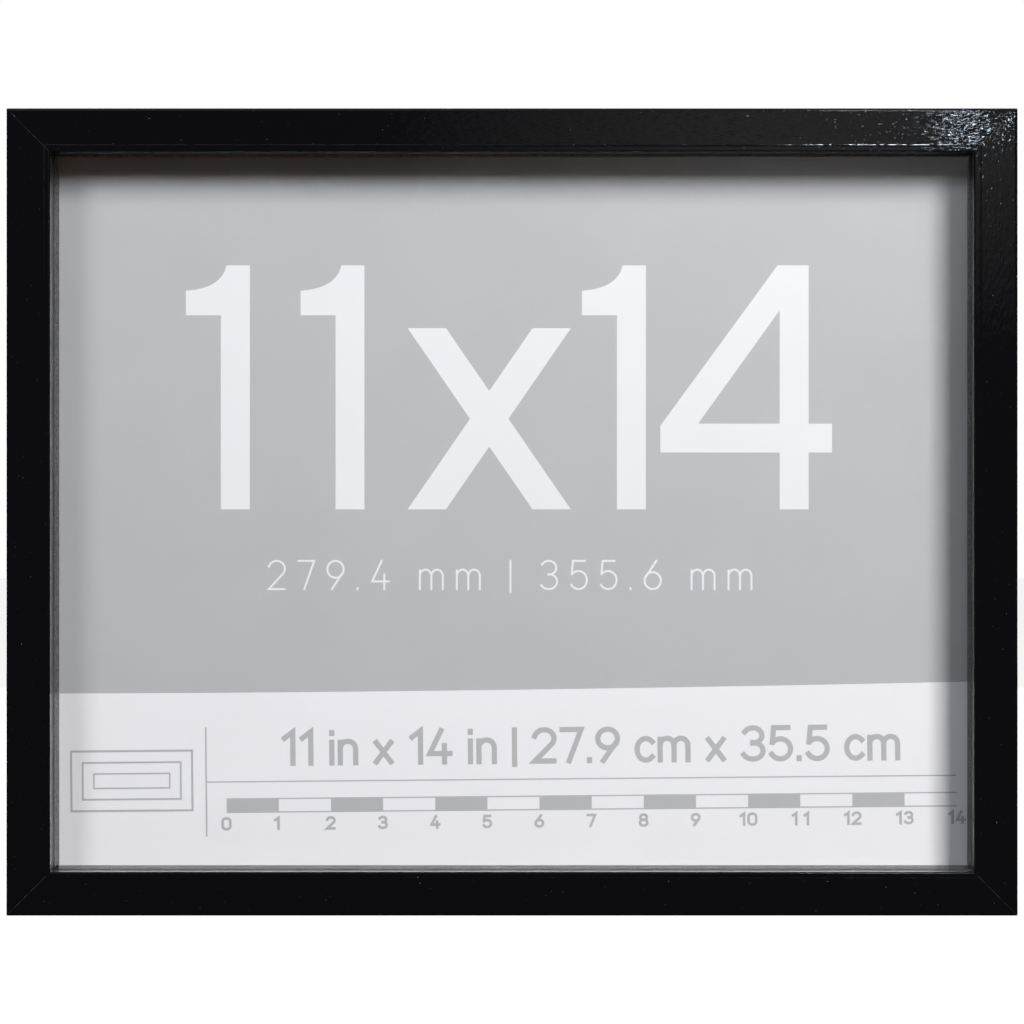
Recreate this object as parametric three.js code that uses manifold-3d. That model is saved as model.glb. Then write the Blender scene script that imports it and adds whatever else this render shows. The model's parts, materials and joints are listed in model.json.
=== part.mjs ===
// A back-loading shadow box for an 11 x 14 inch sheet, in landscape, standing on its bottom rail.
// Millimetres. +X to the viewer's right, +Y from the front to the back, +Z up.
// The origin is on the surface that the box stands on, under the middle of its width and depth.
import * as THREE from "three";
import { mergeVertices } from "three/addons/utils/BufferGeometryUtils.js";
import Module from "manifold-3d";

const wasm = await Module();
wasm.setup();

// ---- Driving dimensions ----

const INCH = 25.4;
const SHEET_WIDTH = 14 * INCH;
const SHEET_HEIGHT = 11 * INCH;
const SHEET_PLAY = 0.8; // free space between a sheet's edge and the wall of its rebate

// Moulding section
const FACE = 16.4; // width of the front face of a rail
const WALL = 10.4; // thickness of a rail behind its lip
const FRAME_DEPTH = 38;
const LIP_DEPTH = 12; // front part that overhangs the rebate
const OUTER_ARRIS = 1.1;
const SIGHT_ARRIS = 0.7;
const BACK_ARRIS = 0.4;
const ARRIS_STEPS = 6;
const MITRE_GAP = 0.1;

// Layers behind the lip, from front to back
const LAYER_GAP = 0.2;
const GLASS_THICK = 2;
const LINER_DEPTH = 17.2;
const SHEET_THICK = 0.4;
const BOARD_THICK = 2;
const BACKING_THICK = 3.2;
const GLASS_PLAY = 0.4;
const BACKING_PLAY = 0.6;

// Hardware on the back
const BUTTON_WIDTH = 9;
const BUTTON_REACH = 20; // from the screw to the tip
const BUTTON_THICK = 1;
const BUTTON_LIFT = 0.3;
const BUTTON_HOLE_R = 1.6;
const LONG_RAIL_BUTTONS = 105; // distance of a button's screw from the middle of its rail
const STILE_BUTTONS = 72;
const SCREW_SHANK_R = 1.25;
const SCREW_HEAD_R = 2.9;
const SCREW_HEAD_THICK = 1.6;
const SCREW_HEAD_LIFT = 0.3;
const SCREW_LENGTH = 11; // below the head
const SCREW_RECESS = 0.8;
const SCREW_SLOT = { length: 3.2, width: 0.7 };
const PILOT_GAP = 0.15;
const PILOT_EXTRA = 0.6; // pilot hole beyond the screw's tip

const HANGER_LENGTH = 44;
const HANGER_WIDTH = 8.4;
const HANGER_THICK = 0.8;
const HANGER_LIFT = 0.2;
const HANGER_RISE = 1.2; // the toothed middle stands this far off the flat ends
const HANGER_END = 8;
const HANGER_RAMP = 3;
const TOOTH_PITCH = 2.8;
const TOOTH_DEPTH = 1.8;
const TOOTH_ROOT = 0.9; // flat at the root of a notch, where the wall nail sits
const TOOTH_COUNT = 7;
const PIN_SHANK_R = 0.6;
const PIN_HEAD_R = 1.6;
const PIN_HEAD_THICK = 0.5;
const PIN_LENGTH = 8;
const PIN_HOLE_GAP = 0.2;

const VNAIL_LEG = 3.2;
const VNAIL_THICK = 0.5;
const VNAIL_DEPTH = 10;
const VNAIL_SPREAD = Math.PI / 3; // angle between a leg and the mitre line
const VNAIL_GAP = 0.15;
const VNAIL_SUNK = 0.3;
const VNAIL_SPOTS = { outer: 6.6, inner: 11 }; // along the mitre, from the outer corner

// ---- Derived sizes ----

const REBATE_WIDTH = SHEET_WIDTH + 2 * SHEET_PLAY;
const REBATE_HEIGHT = SHEET_HEIGHT + 2 * SHEET_PLAY;
const OUTER_WIDTH = REBATE_WIDTH + 2 * WALL;
const OUTER_HEIGHT = REBATE_HEIGHT + 2 * WALL;
const LIP_REACH = FACE - WALL;
const HARDWARE_PROUD = BUTTON_LIFT + BUTTON_THICK + SCREW_HEAD_LIFT + SCREW_HEAD_THICK;
const FRONT = -(FRAME_DEPTH + HARDWARE_PROUD) / 2; // Y of the front face
const BACK = FRONT + FRAME_DEPTH; // Y of the back edge of the rails
const GLASS_FRONT = FRONT + LIP_DEPTH + LAYER_GAP;
const LINER_FRONT = GLASS_FRONT + GLASS_THICK + LAYER_GAP;
const SHEET_FRONT = LINER_FRONT + LINER_DEPTH + LAYER_GAP;
const BOARD_FRONT = SHEET_FRONT + SHEET_THICK + LAYER_GAP;
const BACKING_FRONT = BOARD_FRONT + BOARD_THICK + LAYER_GAP;
const WALL_MIDDLE = WALL / 2; // screws and pins stand in the middle of a rail's back edge
const QUARTER_TURN = Math.PI / 2;
const ROUND_SEGMENTS = 20;

// ---- Materials ----

const material = (color, roughness, metalness = 0, extra = {}) =>
  new THREE.MeshStandardMaterial({ color, roughness, metalness, ...extra });

const lacquer = material(0x0c0c0f, 0.22);
const linerPaint = material(0x101012, 0.45);
const clearGlass = material(0xeef4f2, 0.04, 0, { transparent: true, opacity: 0.2 });
const printedCard = material(0xc9cacd, 0.6);
const boardCloth = material(0x17171a, 0.95);
const hardboard = material(0x5c4433, 0.8);
const blackSteel = material(0x141416, 0.4, 0.6);
const zincSteel = material(0xa8abae, 0.35, 1);
const brassPlate = material(0xb9994d, 0.32, 1);

// ---- Solids ----

// The solid of a closed three.js geometry.
function solidOf(geometry) {
  const bare = geometry.index ? geometry.toNonIndexed() : geometry.clone();
  bare.deleteAttribute("normal");
  bare.deleteAttribute("uv");
  const merged = mergeVertices(bare, 1e-4);
  return new wasm.Manifold(
    new wasm.Mesh({
      numProp: 3,
      vertProperties: new Float32Array(merged.attributes.position.array),
      triVerts: new Uint32Array(merged.index.array),
    }),
  );
}

// The geometry of a solid.
function geometryOf(solid) {
  const mesh = solid.getMesh();
  const geometry = new THREE.BufferGeometry();
  geometry.setAttribute("position", new THREE.BufferAttribute(mesh.vertProperties, 3));
  geometry.setIndex(new THREE.BufferAttribute(mesh.triVerts, 1));
  const flat = geometry.toNonIndexed();
  flat.computeVertexNormals();
  return flat;
}

function cut(geometry, tools) {
  let solid = solidOf(geometry);
  for (const tool of tools) solid = solid.subtract(solidOf(tool));
  return geometryOf(solid);
}

function part(name, geometry, finish) {
  const mesh = new THREE.Mesh(geometry, finish);
  mesh.name = name;
  return mesh;
}

// A box from its lowest corner and its size.
function slab(x, y, z, width, depth, height) {
  const box = new THREE.BoxGeometry(width, depth, height);
  return box.translate(x + width / 2, y + depth / 2, z + height / 2);
}

// A round bar along Y, from y0 to y1.
function bar(x, z, radius, y0, y1, segments = ROUND_SEGMENTS) {
  const cylinder = new THREE.CylinderGeometry(radius, radius, y1 - y0, segments);
  return cylinder.translate(x, (y0 + y1) / 2, z);
}

// An outline drawn in X and Z, extruded along +Y from y0.
function plate(shape, y0, thickness, curveSegments = 10) {
  const options = { depth: thickness, bevelEnabled: false, curveSegments };
  const flat = new THREE.ExtrudeGeometry(shape, options);
  return flat.rotateX(QUARTER_TURN).translate(0, y0 + thickness, 0);
}

// A lathed piece around the Y axis. profile lists [radius, y] and starts and ends on the axis.
function turned(profile, segments = ROUND_SEGMENTS) {
  return new THREE.LatheGeometry(profile.map(([r, y]) => new THREE.Vector2(r, y)), segments);
}

// ---- Rails ----

// The moulding's section: x runs inwards from the outer face, y runs from front to back.
function mouldingSection() {
  const section = new THREE.Shape();
  section.moveTo(OUTER_ARRIS, 0);
  section.lineTo(FACE - SIGHT_ARRIS, 0);
  section.absarc(FACE - SIGHT_ARRIS, SIGHT_ARRIS, SIGHT_ARRIS, -QUARTER_TURN, 0, false);
  section.lineTo(FACE, LIP_DEPTH);
  section.lineTo(WALL, LIP_DEPTH);
  section.lineTo(WALL, FRAME_DEPTH);
  section.lineTo(BACK_ARRIS, FRAME_DEPTH);
  section.lineTo(0, FRAME_DEPTH - BACK_ARRIS);
  section.lineTo(0, OUTER_ARRIS);
  section.absarc(OUTER_ARRIS, OUTER_ARRIS, OUTER_ARRIS, Math.PI, 1.5 * Math.PI, false);
  return section;
}

// A rail along X whose outer face is at z = -reach. Both ends are cut on the mitre: a point of the
// section stops as far short of the outer corner as it lies inwards from the outer face.
function mitredRail(length, reach) {
  const options = { depth: 2, bevelEnabled: false, curveSegments: ARRIS_STEPS };
  const raw = new THREE.ExtrudeGeometry(mouldingSection(), options);
  const point = raw.attributes.position;
  for (let i = 0; i < point.count; i++) {
    const inwards = point.getX(i);
    const side = point.getZ(i) > 1 ? -1 : 1;
    const end = length / 2 - inwards - MITRE_GAP / 2;
    point.setXYZ(i, side * end, FRONT + point.getY(i), inwards - reach);
  }
  return raw;
}

// A V-nail's outline, with its point at the origin and both legs reaching towards the outer corner.
// The mitre line runs along the outline's +X, from the outer corner inwards.
function vNailOutline(grow) {
  const legX = -Math.cos(VNAIL_SPREAD);
  const legY = Math.sin(VNAIL_SPREAD);
  const half = VNAIL_THICK / 2 + grow;
  const reach = VNAIL_LEG + grow;
  const tip = half / Math.sin(VNAIL_SPREAD);
  const outline = new THREE.Shape();
  outline.moveTo(tip, 0);
  outline.lineTo(legX * reach + legY * half, legY * reach - legX * half);
  outline.lineTo(legX * reach - legY * half, legY * reach + legX * half);
  outline.lineTo(-tip, 0);
  outline.lineTo(legX * reach - legY * half, -legY * reach - legX * half);
  outline.lineTo(legX * reach + legY * half, -legY * reach + legX * half);
  outline.closePath();
  return outline;
}

// A V-nail at one end of a rail, at a distance along the mitre from the outer corner. grow widens
// it all round, and a grown one runs out through the rail's back edge, as the slot it sits in does.
function vNail({ end, length, reach, along, grow = 0 }) {
  const front = BACK - VNAIL_DEPTH - VNAIL_SUNK - grow;
  const back = grow ? BACK + 1 : BACK - VNAIL_SUNK;
  const nail = plate(vNailOutline(grow), front, back - front);
  const step = along / Math.SQRT2;
  nail.rotateY(end > 0 ? -0.75 * Math.PI : -0.25 * Math.PI);
  return nail.translate(end * (length / 2 - step), 0, step - reach);
}

function vNailSlots(length, reach) {
  const spots = Object.values(VNAIL_SPOTS);
  return [-1, 1].flatMap((end) =>
    spots.map((along) => vNail({ end, length, reach, along, grow: VNAIL_GAP })),
  );
}

// ---- Hardware on the back ----

// A turn button, pivot at the origin, blade along +X.
function turnButton() {
  const radius = BUTTON_WIDTH / 2;
  const blade = new THREE.Shape();
  const straight = BUTTON_REACH - radius;
  blade.moveTo(0, -radius);
  blade.lineTo(straight, -radius);
  blade.absarc(straight, 0, radius, -QUARTER_TURN, QUARTER_TURN, false);
  blade.lineTo(0, radius);
  blade.absarc(0, 0, radius, QUARTER_TURN, 3 * QUARTER_TURN, false);
  const hole = new THREE.Path();
  hole.absarc(0, 0, BUTTON_HOLE_R, 0, 2 * Math.PI, true);
  blade.holes.push(hole);
  return plate(blade, BACK + BUTTON_LIFT, BUTTON_THICK);
}

// A pan-head screw along Y with a cross recess, its head on the outside of a turn button.
function buttonScrew() {
  const under = BACK + BUTTON_LIFT + BUTTON_THICK + SCREW_HEAD_LIFT;
  const tip = under - SCREW_LENGTH;
  const top = under + SCREW_HEAD_THICK;
  const rim = SCREW_HEAD_R - 0.5;
  const screw = turned([
    [0, tip],
    [SCREW_SHANK_R, tip + 2],
    [SCREW_SHANK_R, under],
    [SCREW_HEAD_R, under],
    [SCREW_HEAD_R, under + SCREW_HEAD_THICK * 0.4],
    [rim, top - 0.15],
    [0, top],
  ]);
  const { length, width } = SCREW_SLOT;
  const floor = top - SCREW_RECESS;
  return cut(screw, [
    slab(-length / 2, floor, -width / 2, length, 1, width),
    slab(-width / 2, floor, -length / 2, width, 1, length),
  ]);
}

function screwPilot(x, z) {
  const depth = SCREW_LENGTH - HARDWARE_PROUD + SCREW_HEAD_THICK + PILOT_EXTRA;
  return bar(x, z, SCREW_SHANK_R + PILOT_GAP, BACK - depth, BACK + 1);
}

// A sawtooth hanger along X: flat nailed ends, a raised middle, and notches along its +Z edge.
function sawtoothHanger() {
  const half = HANGER_LENGTH / 2;
  const foot = BACK + HANGER_LIFT;
  const raised = foot + HANGER_RISE;
  const rampStart = half - HANGER_END;
  const rampEnd = rampStart - HANGER_RAMP;
  const lower = [[-half, foot], [-rampStart, foot], [-rampEnd, raised]];
  const profile = new THREE.Shape();
  profile.moveTo(...lower[0]);
  for (const [x, y] of lower.slice(1)) profile.lineTo(x, y);
  for (const [x, y] of [...lower].reverse()) profile.lineTo(-x, y);
  for (const [x, y] of lower) profile.lineTo(-x, y + HANGER_THICK);
  for (const [x, y] of [...lower].reverse()) profile.lineTo(x, y + HANGER_THICK);
  profile.closePath();
  const strip = new THREE.ExtrudeGeometry(profile, { depth: HANGER_WIDTH, bevelEnabled: false });
  strip.translate(0, 0, -HANGER_WIDTH / 2);
  const tools = [-1, 1].map((side) =>
    bar(side * (half - HANGER_END / 2), 0, PIN_SHANK_R + PIN_HOLE_GAP, foot - 1, raised + 2, 12),
  );
  for (let i = 0; i < TOOTH_COUNT; i++) {
    const middle = (i - (TOOTH_COUNT - 1) / 2) * TOOTH_PITCH;
    tools.push(toothNotch(middle));
  }
  return cut(strip, tools);
}

// The room between two teeth, wide at the hanger's edge and narrow at its root.
function toothNotch(middle) {
  const edge = HANGER_WIDTH / 2;
  const mouth = TOOTH_PITCH / 2 - 0.1;
  const root = TOOTH_ROOT / 2;
  const notch = new THREE.Shape();
  notch.moveTo(middle - root, edge - TOOTH_DEPTH);
  notch.lineTo(middle + root, edge - TOOTH_DEPTH);
  notch.lineTo(middle + mouth, edge);
  notch.lineTo(middle + mouth, edge + 1);
  notch.lineTo(middle - mouth, edge + 1);
  notch.lineTo(middle - mouth, edge);
  notch.closePath();
  return plate(notch, BACK - 1, HANGER_RISE + HANGER_THICK + 3);
}

// A hanger's pin along Y, pivot at the origin.
function hangerPin() {
  const under = BACK + HANGER_LIFT + HANGER_THICK + HANGER_LIFT;
  const tip = under - PIN_LENGTH;
  const top = under + PIN_HEAD_THICK;
  return turned(
    [
      [0, tip],
      [PIN_SHANK_R, tip + 1.5],
      [PIN_SHANK_R, under],
      [PIN_HEAD_R, under],
      [PIN_HEAD_R, under + PIN_HEAD_THICK * 0.5],
      [PIN_HEAD_R * 0.6, top],
      [0, top],
    ],
    14,
  );
}

function pinPilot(x, z) {
  return bar(x, z, PIN_SHANK_R + PIN_HOLE_GAP, BACK - PIN_LENGTH, BACK + 1, 12);
}

// ---- One side of the frame: a rail with the hardware on its back edge ----

// The side is built below the box's centre, along X, and its group turns it into place.
function frameSide({ name, kind, length, reach, turn, buttonSpots, hangerName }) {
  const side = new THREE.Group();
  side.rotation.y = turn;
  side.position.z = OUTER_HEIGHT / 2;
  const rowZ = WALL_MIDDLE - reach;
  const hangerSpots = hangerName ? [-1, 1].map((s) => (s * (HANGER_LENGTH - HANGER_END)) / 2) : [];
  const tools = [
    ...buttonSpots.map((x) => screwPilot(x, rowZ)),
    ...hangerSpots.map((x) => pinPilot(x, rowZ)),
    ...vNailSlots(length, reach),
  ];
  side.add(part(`${name}_${kind}`, cut(mitredRail(length, reach), tools), lacquer));

  for (const [label, along] of Object.entries(VNAIL_SPOTS)) {
    const nail = vNail({ end: 1, length, reach, along });
    side.add(part(`v_nail_${name}_corner_${label}`, nail, zincSteel));
  }

  buttonSpots.forEach((x, i) => {
    const label = `${name}_${i + 1}`;
    const button = part(`turn_button_${label}`, turnButton(), blackSteel);
    button.position.set(x, 0, rowZ);
    // Both blades of a side point towards the middle of their rail while they are open.
    if (x > 0) button.rotation.y = Math.PI;
    const screw = part(`button_screw_${label}`, buttonScrew(), zincSteel);
    screw.position.set(x, 0, rowZ);
    side.add(button, screw);
  });

  if (hangerName) {
    const hanger = part(hangerName, sawtoothHanger(), brassPlate);
    hanger.position.z = rowZ;
    side.add(hanger);
    hangerSpots.forEach((x, i) => {
      const pin = part(`${hangerName}_pin_${i + 1}`, hangerPin(), brassPlate);
      pin.position.set(x, 0, rowZ);
      side.add(pin);
    });
  }
  return side;
}

// ---- What the frame holds ----

// A panel centred in the box, from its front face backwards.
function panel(width, height, front, thickness) {
  return slab(-width / 2, front, (OUTER_HEIGHT - height) / 2, width, thickness, height);
}

// Liner strips, which hold the glass against the lip and the sheet away from it.
function linerStrips() {
  const thick = LIP_REACH - LAYER_GAP;
  const width = REBATE_WIDTH - 2 * LAYER_GAP;
  const top = (OUTER_HEIGHT + REBATE_HEIGHT) / 2 - LAYER_GAP;
  const bottom = (OUTER_HEIGHT - REBATE_HEIGHT) / 2 + LAYER_GAP;
  const between = top - bottom - 2 * thick - 2 * LAYER_GAP;
  const sideFoot = bottom + thick + LAYER_GAP;
  const strip = (name, x, z, w, h) =>
    part(name, slab(x, LINER_FRONT, z, w, LINER_DEPTH, h), linerPaint);
  return [
    strip("liner_top", -width / 2, top - thick, width, thick),
    strip("liner_bottom", -width / 2, bottom, width, thick),
    strip("liner_left", -width / 2, sideFoot, thick, between),
    strip("liner_right", width / 2 - thick, sideFoot, thick, between),
  ];
}

// ---- Assembly ----

const HALF_WIDTH = OUTER_WIDTH / 2;
const HALF_HEIGHT = OUTER_HEIGHT / 2;
const longButtons = [-LONG_RAIL_BUTTONS, LONG_RAIL_BUTTONS];
const stileButtons = [-STILE_BUTTONS, STILE_BUTTONS];

const sides = [
  {
    name: "bottom",
    kind: "rail",
    length: OUTER_WIDTH,
    reach: HALF_HEIGHT,
    turn: 0,
    buttonSpots: longButtons,
  },
  {
    name: "right",
    kind: "stile",
    length: OUTER_HEIGHT,
    reach: HALF_WIDTH,
    turn: -QUARTER_TURN,
    buttonSpots: stileButtons,
  },
  {
    name: "top",
    kind: "rail",
    length: OUTER_WIDTH,
    reach: HALF_HEIGHT,
    turn: Math.PI,
    buttonSpots: longButtons,
    hangerName: "landscape_hanger",
  },
  {
    name: "left",
    kind: "stile",
    length: OUTER_HEIGHT,
    reach: HALF_WIDTH,
    turn: QUARTER_TURN,
    buttonSpots: stileButtons,
    hangerName: "portrait_hanger",
  },
];

const shadowBox = new THREE.Group();
for (const side of sides) shadowBox.add(frameSide(side));

const glassWidth = REBATE_WIDTH - 2 * GLASS_PLAY;
const glassHeight = REBATE_HEIGHT - 2 * GLASS_PLAY;
const backingWidth = REBATE_WIDTH - 2 * BACKING_PLAY;
const backingHeight = REBATE_HEIGHT - 2 * BACKING_PLAY;
shadowBox.add(
  part("glass_pane", panel(glassWidth, glassHeight, GLASS_FRONT, GLASS_THICK), clearGlass),
  ...linerStrips(),
  part("printed_sheet", panel(SHEET_WIDTH, SHEET_HEIGHT, SHEET_FRONT, SHEET_THICK), printedCard),
  part("display_board", panel(SHEET_WIDTH, SHEET_HEIGHT, BOARD_FRONT, BOARD_THICK), boardCloth),
  part("backing_panel", panel(backingWidth, backingHeight, BACKING_FRONT, BACKING_THICK), hardboard),
);

export default shadowBox;
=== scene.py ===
"""The looks of a shadow box for an 11 x 14 inch sheet, seen square from the front in soft light.

Everything is in metres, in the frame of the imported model: +X to the viewer's right, +Y from the
glass to the back, +Z up. Sizes on the printed sheet are in millimetres from the sheet's middle.
"""

import json
import math

import bmesh
import bpy
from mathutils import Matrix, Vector


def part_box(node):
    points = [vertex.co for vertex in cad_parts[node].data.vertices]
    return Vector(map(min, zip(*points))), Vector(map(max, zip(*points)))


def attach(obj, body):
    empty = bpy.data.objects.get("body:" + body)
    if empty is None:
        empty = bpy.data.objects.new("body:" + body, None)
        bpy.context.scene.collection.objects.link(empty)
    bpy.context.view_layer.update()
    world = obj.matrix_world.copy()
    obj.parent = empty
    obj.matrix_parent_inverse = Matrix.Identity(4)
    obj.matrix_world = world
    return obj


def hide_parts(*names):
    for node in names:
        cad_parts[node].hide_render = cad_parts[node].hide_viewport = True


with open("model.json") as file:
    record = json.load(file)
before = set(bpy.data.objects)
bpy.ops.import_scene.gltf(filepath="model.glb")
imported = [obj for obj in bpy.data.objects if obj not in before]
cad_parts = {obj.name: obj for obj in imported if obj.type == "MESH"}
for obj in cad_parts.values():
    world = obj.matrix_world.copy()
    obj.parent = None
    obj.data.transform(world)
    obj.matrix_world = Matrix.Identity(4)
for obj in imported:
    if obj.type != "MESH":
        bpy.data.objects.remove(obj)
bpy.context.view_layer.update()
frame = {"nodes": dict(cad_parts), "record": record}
NODES = frame["nodes"]
RECORD = frame["record"]
BODY_OF = {
    node: body for body, members in RECORD["behaviour"]["bodies"].items() for node in members
}
MM = 0.001

# ---- Camera: square to the front, a little right of and above the middle ----

FRONT_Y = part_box("top_rail")[0][1]
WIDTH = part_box("right_stile")[1][0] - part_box("left_stile")[0][0]
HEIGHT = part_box("top_rail")[1][2]
CAMERA_DISTANCE = 1.75
CAMERA_ASIDE = Vector((28 * MM, 0, 12 * MM))
FRAME_SHARE = 0.988  # how much of the picture's width the frame takes up
VIEW_WIDTH = WIDTH / FRAME_SHARE  # width of the picture at the front face
SENSOR = 36.0


def make_camera():
    data = bpy.data.cameras.new("camera")
    camera = bpy.data.objects.new("camera", data)
    bpy.context.scene.collection.objects.link(camera)
    middle = Vector((0, FRONT_Y, HEIGHT / 2))
    camera.location = middle + CAMERA_ASIDE + Vector((0, -CAMERA_DISTANCE, 0))
    camera.rotation_euler = (math.pi / 2, 0, 0)
    data.sensor_width = SENSOR
    data.lens = SENSOR * CAMERA_DISTANCE / VIEW_WIDTH
    data.shift_x = -CAMERA_ASIDE.x / VIEW_WIDTH
    data.shift_y = -CAMERA_ASIDE.z / VIEW_WIDTH
    bpy.context.scene.camera = camera


# ---- Node materials ----


class Material:
    """A node material. add() makes a node, whose inputs are values or sockets by their names, with
    _ for a space."""

    def __init__(self, name):
        self.data = bpy.data.materials.new(name)
        self.data.use_nodes = True
        self.tree = self.data.node_tree
        self.tree.nodes.clear()
        self.out = self.tree.nodes.new("ShaderNodeOutputMaterial")

    def set(self, socket, value):
        if isinstance(value, bpy.types.NodeSocket):
            self.tree.links.new(value, socket)
        else:
            socket.default_value = value

    def add(self, kind, settings=None, **inputs):
        node = self.tree.nodes.new("ShaderNode" + kind)
        for key, value in (settings or {}).items():
            setattr(node, key, value)
        for key, value in inputs.items():
            self.set(node.inputs[key.replace("_", " ")], value)
        return node

    def place(self, scale=(1, 1, 1)):
        """Places in the piece's own frame, in metres, stretched by scale."""
        where = self.add("TexCoord").outputs["Object"]
        return self.add("Mapping", Vector=where, Scale=scale).outputs["Vector"]

    def noise(self, scale, detail=2.0, stretch=(1, 1, 1), roughness=0.5):
        """Noise from 0 to 1 whose features are about 1 / scale metres across."""
        spot = self.place(stretch)
        node = self.add("TexNoise", Vector=spot, Scale=scale, Detail=detail, Roughness=roughness)
        return node.outputs["Fac"]

    def between(self, value, low, high, floor=0.0, ceiling=1.0):
        """value from low..high, spread over floor..ceiling and held there."""
        node = self.add(
            "MapRange", Value=value, From_Min=low, From_Max=high, To_Min=floor, To_Max=ceiling
        )
        return node.outputs["Result"]

    def math(self, operation, *values):
        node = self.add("Math", {"operation": operation})
        for socket, value in zip(node.inputs, values):
            self.set(socket, value)
        return node.outputs["Value"]

    def mix(self, amount, first, second):
        node = self.add("MixRGB")
        self.set(node.inputs[0], amount)
        self.set(node.inputs[1], first)
        self.set(node.inputs[2], second)
        return node.outputs["Color"]

    def bump(self, height, distance, after=None):
        """A normal that rises and falls by height times distance, on top of the one in after."""
        node = self.add("Bump", Height=height, Distance=distance, Strength=1.0)
        if after is not None:
            self.set(node.inputs["Normal"], after)
        return node.outputs["Normal"]

    def finish(self, **inputs):
        """Ends the material in one Principled shader."""
        shader = self.add("BsdfPrincipled", **inputs)
        self.set(self.out.inputs["Surface"], shader.outputs["BSDF"])
        return self.data


def rgb(red, green, blue):
    return (red, green, blue, 1.0)


def along(axis, stretch):
    """Stretch for a grain that runs along X (0) or Z (2)."""
    scale = [1.0, 1.0, 1.0]
    scale[axis] = stretch
    return tuple(scale)


# Noise scales and heights of the unevenness in the lacquer, from the finest to the broadest.
PEEL_SCALE, PEEL_HEIGHT = 1350, 0.028 * MM
SWELL_SCALE, SWELL_HEIGHT = 420, 0.022 * MM
WAVE_SCALE, WAVE_HEIGHT = 45, 0.03 * MM
PEEL_STRETCH = 0.26  # how its noise is stretched along the grain
STRETCH = 0.5  # and that of the swell, the waves and the painted glint flecks
GLOSS = (0.035, 0.06)  # least and most roughness of the front
SIDE_DULLER = 0.37  # how much rougher the outside is
SIDE_FROM, SIDE_TO = 1 * MM, 3 * MM  # depths where the gloss begins and ends turning satin
BLACK = rgb(0.0024, 0.0024, 0.0030)
DUST = rgb(0.05, 0.05, 0.055)
DUST_LIMITS = (0.79, 0.82)  # noise above this is a nib of dust
# painted highlight: colour of light flecks that stand in for glints of the lamps in the lacquer
PAINTED_GLINT = rgb(0.10, 0.11, 0.13)
GLINTS_AT = (0.155, 0.300)  # x and z where the painted glint flecks lie thickest, at the top rail's right end
GLINTS_NEAR, GLINTS_FAR = 0.015, 0.075  # they thin out between these distances from there
GLINT_LIMITS = (0.68, 0.79)  # noise above this is a painted glint fleck, near and far
RUN_IN = 2.5 * MM  # the run in the lacquer lies this far in from the sight edge
RUN_WIDTH = 1.0 * MM
RUN_HEIGHT = 0.045 * MM


def fleck_limit(m, place):
    """How high noise must be to make a painted glint: the higher, the further from the corner."""
    aside = m.math("SUBTRACT", place.outputs["X"], GLINTS_AT[0])
    below = m.math("SUBTRACT", place.outputs["Z"], GLINTS_AT[1])
    squares = m.math("ADD", m.math("MULTIPLY", aside, aside), m.math("MULTIPLY", below, below))
    return m.between(m.math("SQRT", squares), GLINTS_NEAR, GLINTS_FAR, *GLINT_LIMITS)


def run_shape(m, place, across, run):
    """A broken ridge along the rail, whose section is one wave that rises from 0 to 2."""
    away = m.math("ABSOLUTE", m.math("SUBTRACT", place.outputs["XYZ"[across]], run))
    ridge = m.math("COSINE", m.between(away, 0.0, RUN_WIDTH / 2, math.pi, 0.0))
    whole = m.between(m.noise(380, 2), 0.34, 0.40)
    return m.math("MULTIPLY", m.math("SUBTRACT", 1.0, ridge), whole)


def lacquer(name, axis, across, run):
    """Black lacquer, sprayed over a grained moulding whose grain runs along an axis. It is gloss
    on the front and satin on the outside.

    It dried with a fine orange peel that is drawn out along the grain. Light flecks painted
    towards one corner are a painted highlight, glints in the colour. A narrow, broken run
    stands up along it at run on the across axis.
    """
    m = Material("lacquer_" + name)
    peel = m.noise(PEEL_SCALE, 1, along(axis, PEEL_STRETCH))
    swell = m.noise(SWELL_SCALE, 1, along(axis, STRETCH))
    waves = m.noise(WAVE_SCALE, 1, along(axis, STRETCH))
    fine = m.noise(1500, 3, along(axis, 0.35), 0.6)
    dust = m.between(m.noise(1300, 1), *DUST_LIMITS)
    place = m.add("SeparateXYZ", Vector=m.place())
    depth = m.math("SUBTRACT", place.outputs["Y"], FRONT_Y)
    on_side = m.between(depth, SIDE_FROM, SIDE_TO)
    limit = m.math("ADD", fleck_limit(m, place), on_side)  # no painted glint flecks on the outside
    painted_glints = m.math("SUBTRACT", m.noise(PEEL_SCALE, 1, along(axis, STRETCH)), limit)
    colour = m.mix(dust, BLACK, DUST)
    # painted highlight: light glint flecks mixed into the black, thickest at the top rail's right
    # end
    colour = m.mix(m.between(painted_glints, 0.0, 0.05), colour, PAINTED_GLINT)
    duller = m.between(on_side, 0, 1, 0, SIDE_DULLER)
    rough = m.math("ADD", m.between(fine, 0.35, 0.7, *GLOSS), duller)
    normal = m.bump(waves, WAVE_HEIGHT)
    normal = m.bump(swell, SWELL_HEIGHT, after=normal)
    normal = m.bump(peel, PEEL_HEIGHT, after=normal)
    normal = m.bump(run_shape(m, place, across, run), RUN_HEIGHT / 2, after=normal)
    return m.finish(Base_Color=colour, Roughness=rough, Normal=normal)


SATIN = 0.24  # roughness of the liner paint
OVERSPRAY = 5.0 * MM  # how far the gloss lacquer reaches round the sight edge
RAGGED = 1.5 * MM  # how uneven its end is


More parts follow.
